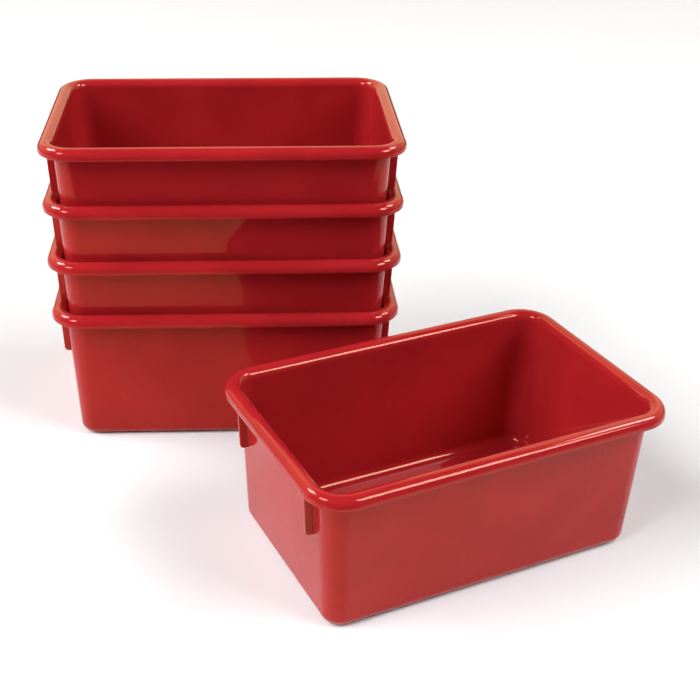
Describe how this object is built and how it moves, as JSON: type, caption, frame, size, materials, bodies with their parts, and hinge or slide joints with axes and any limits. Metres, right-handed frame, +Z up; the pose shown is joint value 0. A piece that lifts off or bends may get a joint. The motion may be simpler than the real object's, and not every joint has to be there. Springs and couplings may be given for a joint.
{
  "type": "art supply box",
  "caption": "Rectangular open-top plastic boxes for art supplies, with tapered walls, rolled rims and nesting fins: a nested stack with a loose box in front of it.",
  "frame": {"origin": "centre of the underside of the lowest box in the nested stack, on the surface that everything stands on", "axes": "+X along the long side of the nested boxes, +Y away from the loose front box, +Z up"},
  "size_m": [0.4987, 0.471, 0.2861],
  "materials": {
    "red_plastic": "smooth glossy injection-moulded polypropylene, solid red throughout, polished inside and out"
  },
  "bodies": {
    "bottom_box": {"bottom_box": "red_plastic"},
    "second_box": {"second_box": "red_plastic"},
    "third_box": {"third_box": "red_plastic"},
    "top_box": {"top_box": "red_plastic"},
    "front_box": {"front_box": "red_plastic"}
  },
  "joints": [
    {"name": "second_box_lift", "type": "slide", "parent": "bottom_box", "child": "second_box", "axis": [0, 0, 1], "range_m": [0, 0.12]},
    {"name": "third_box_lift", "type": "slide", "parent": "second_box", "child": "third_box", "axis": [0, 0, 1], "range_m": [0, 0.12]},
    {"name": "top_box_lift", "type": "slide", "parent": "third_box", "child": "top_box", "axis": [0, 0, 1], "range_m": [0, 0.12]},
    {"name": "front_box_lift", "type": "slide", "parent": "bottom_box", "child": "front_box", "axis": [0, 0, 1], "range_m": [0, 0.2]}
  ]
}
